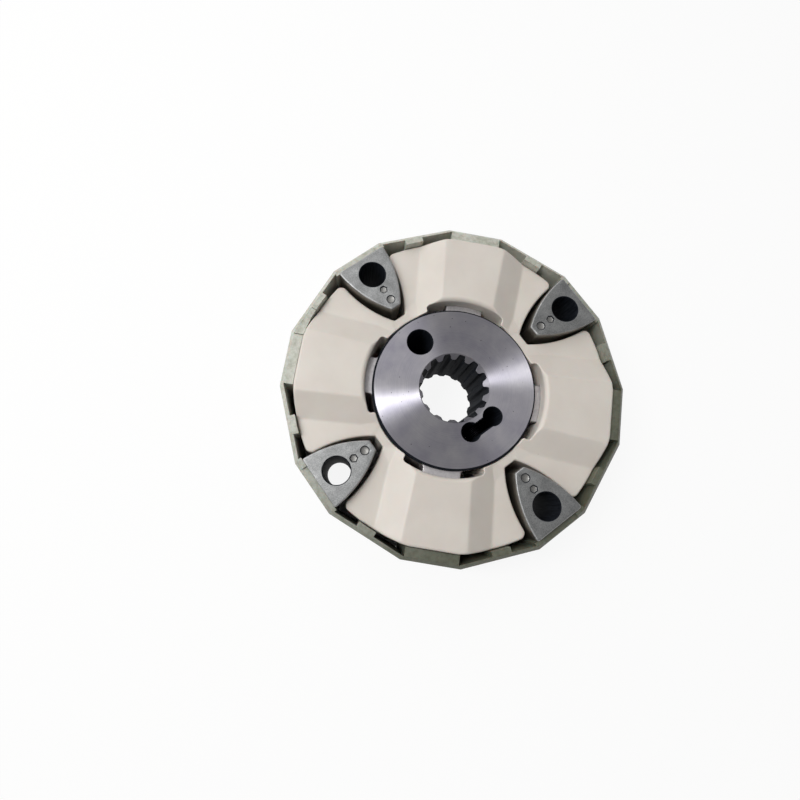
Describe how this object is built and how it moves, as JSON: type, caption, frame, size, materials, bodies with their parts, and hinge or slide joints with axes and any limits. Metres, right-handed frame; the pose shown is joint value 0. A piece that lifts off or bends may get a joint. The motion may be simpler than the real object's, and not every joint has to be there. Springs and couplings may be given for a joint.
{
  "type": "flexible pump drive coupling",
  "caption": "Flexible flywheel coupling: splined steel hub with lugs, moulded elastic element, bolted cast inserts and an outer ring.",
  "frame": {"origin": "on the coupling axis, in the plane the coupling rests on, which holds the undersides of the hub, the inserts and the ring", "axes": "+Z along the coupling axis towards the flywheel; the inserts lie on the X and Y axes; the hub's clamping slot is on the -Y side"},
  "size_m": [0.1798, 0.1798, 0.048],
  "materials": {
    "moulded_nylon": "matt, glass-filled, natural grey-green",
    "moulded_elastomer": "satin, moulded, cream",
    "ground_steel": "turned and ground",
    "blackened_steel": "blackened",
    "cast_aluminium": "die cast, fine grain"
  },
  "bodies": {
    "flywheel_side": {"outer_ring": "moulded_nylon", "insert_1": "cast_aluminium", "insert_2": "cast_aluminium", "insert_3": "cast_aluminium", "insert_4": "cast_aluminium"},
    "element_side": {"flexible_element": "moulded_elastomer"},
    "hub_side": {"hub": "ground_steel"},
    "clamp": {"clamp_screw": "blackened_steel"}
  },
  "joints": [
    {"name": "element_play", "type": "hinge", "parent": "flywheel_side", "child": "element_side", "pos_m": [0, 0, 0], "axis": [0, 0, 1], "range_deg": [-0.5, 0.5]},
    {"name": "hub_plug_in", "type": "slide", "parent": "element_side", "child": "hub_side", "axis": [0, 0, -1], "range_m": [0, 0.05]},
    {"name": "clamp_screw_travel", "type": "slide", "parent": "hub_side", "child": "clamp", "axis": [0, -1, 0], "range_m": [0, 0.004]}
  ]
}
